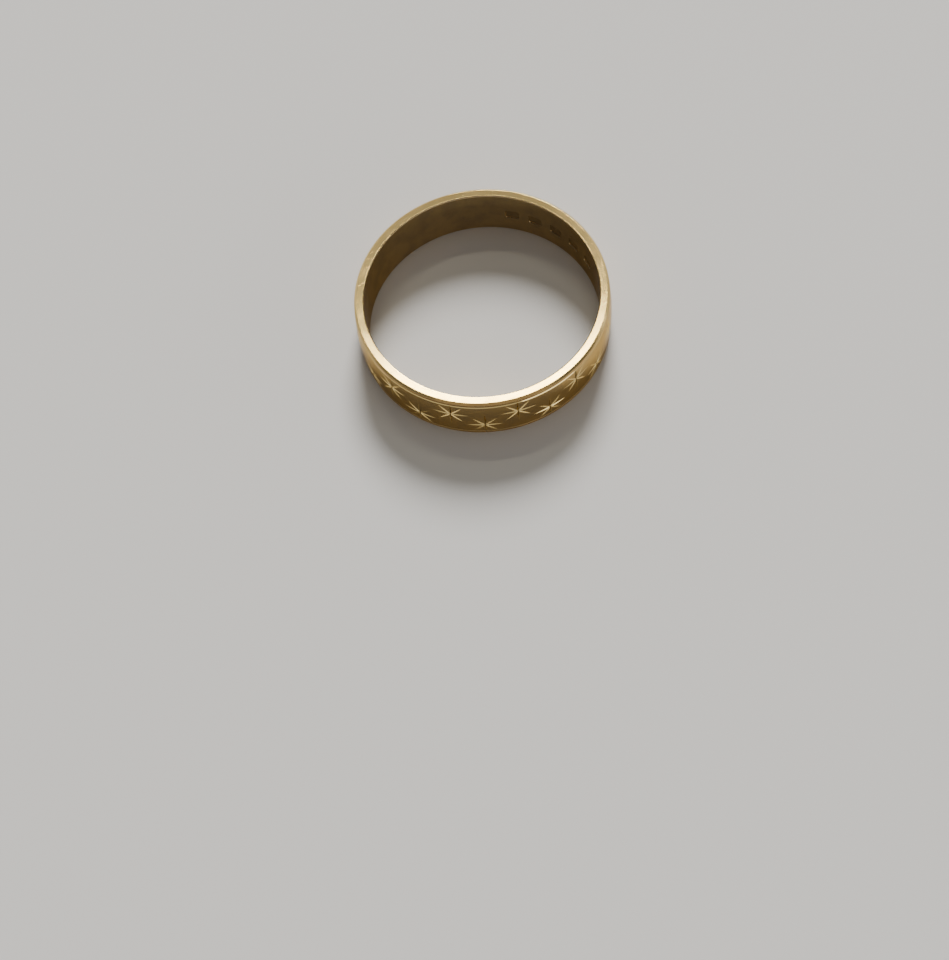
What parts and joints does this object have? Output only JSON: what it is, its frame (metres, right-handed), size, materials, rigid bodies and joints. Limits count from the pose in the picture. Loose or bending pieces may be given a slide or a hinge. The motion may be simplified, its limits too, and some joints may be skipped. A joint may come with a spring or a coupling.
{
  "type": "wedding band",
  "caption": "Narrow yellow gold wedding band with flat rims, an engraved line near each edge and staggered diamond-cut stars round its outer wall.",
  "frame": {"origin": "centre of the finger hole, on the plane of the lower rim that the ring rests on", "axes": "+Z along the finger hole's axis, from the lower rim to the upper rim; +X towards one of the upper row's stars"},
  "size_m": [0.0198, 0.0198, 0.0043],
  "materials": {
    "gold": "polished pale yellow gold, satin turned rims, fine wear scratches"
  },
  "bodies": {
    "root": {"band": "gold"}
  },
  "joints": []
}
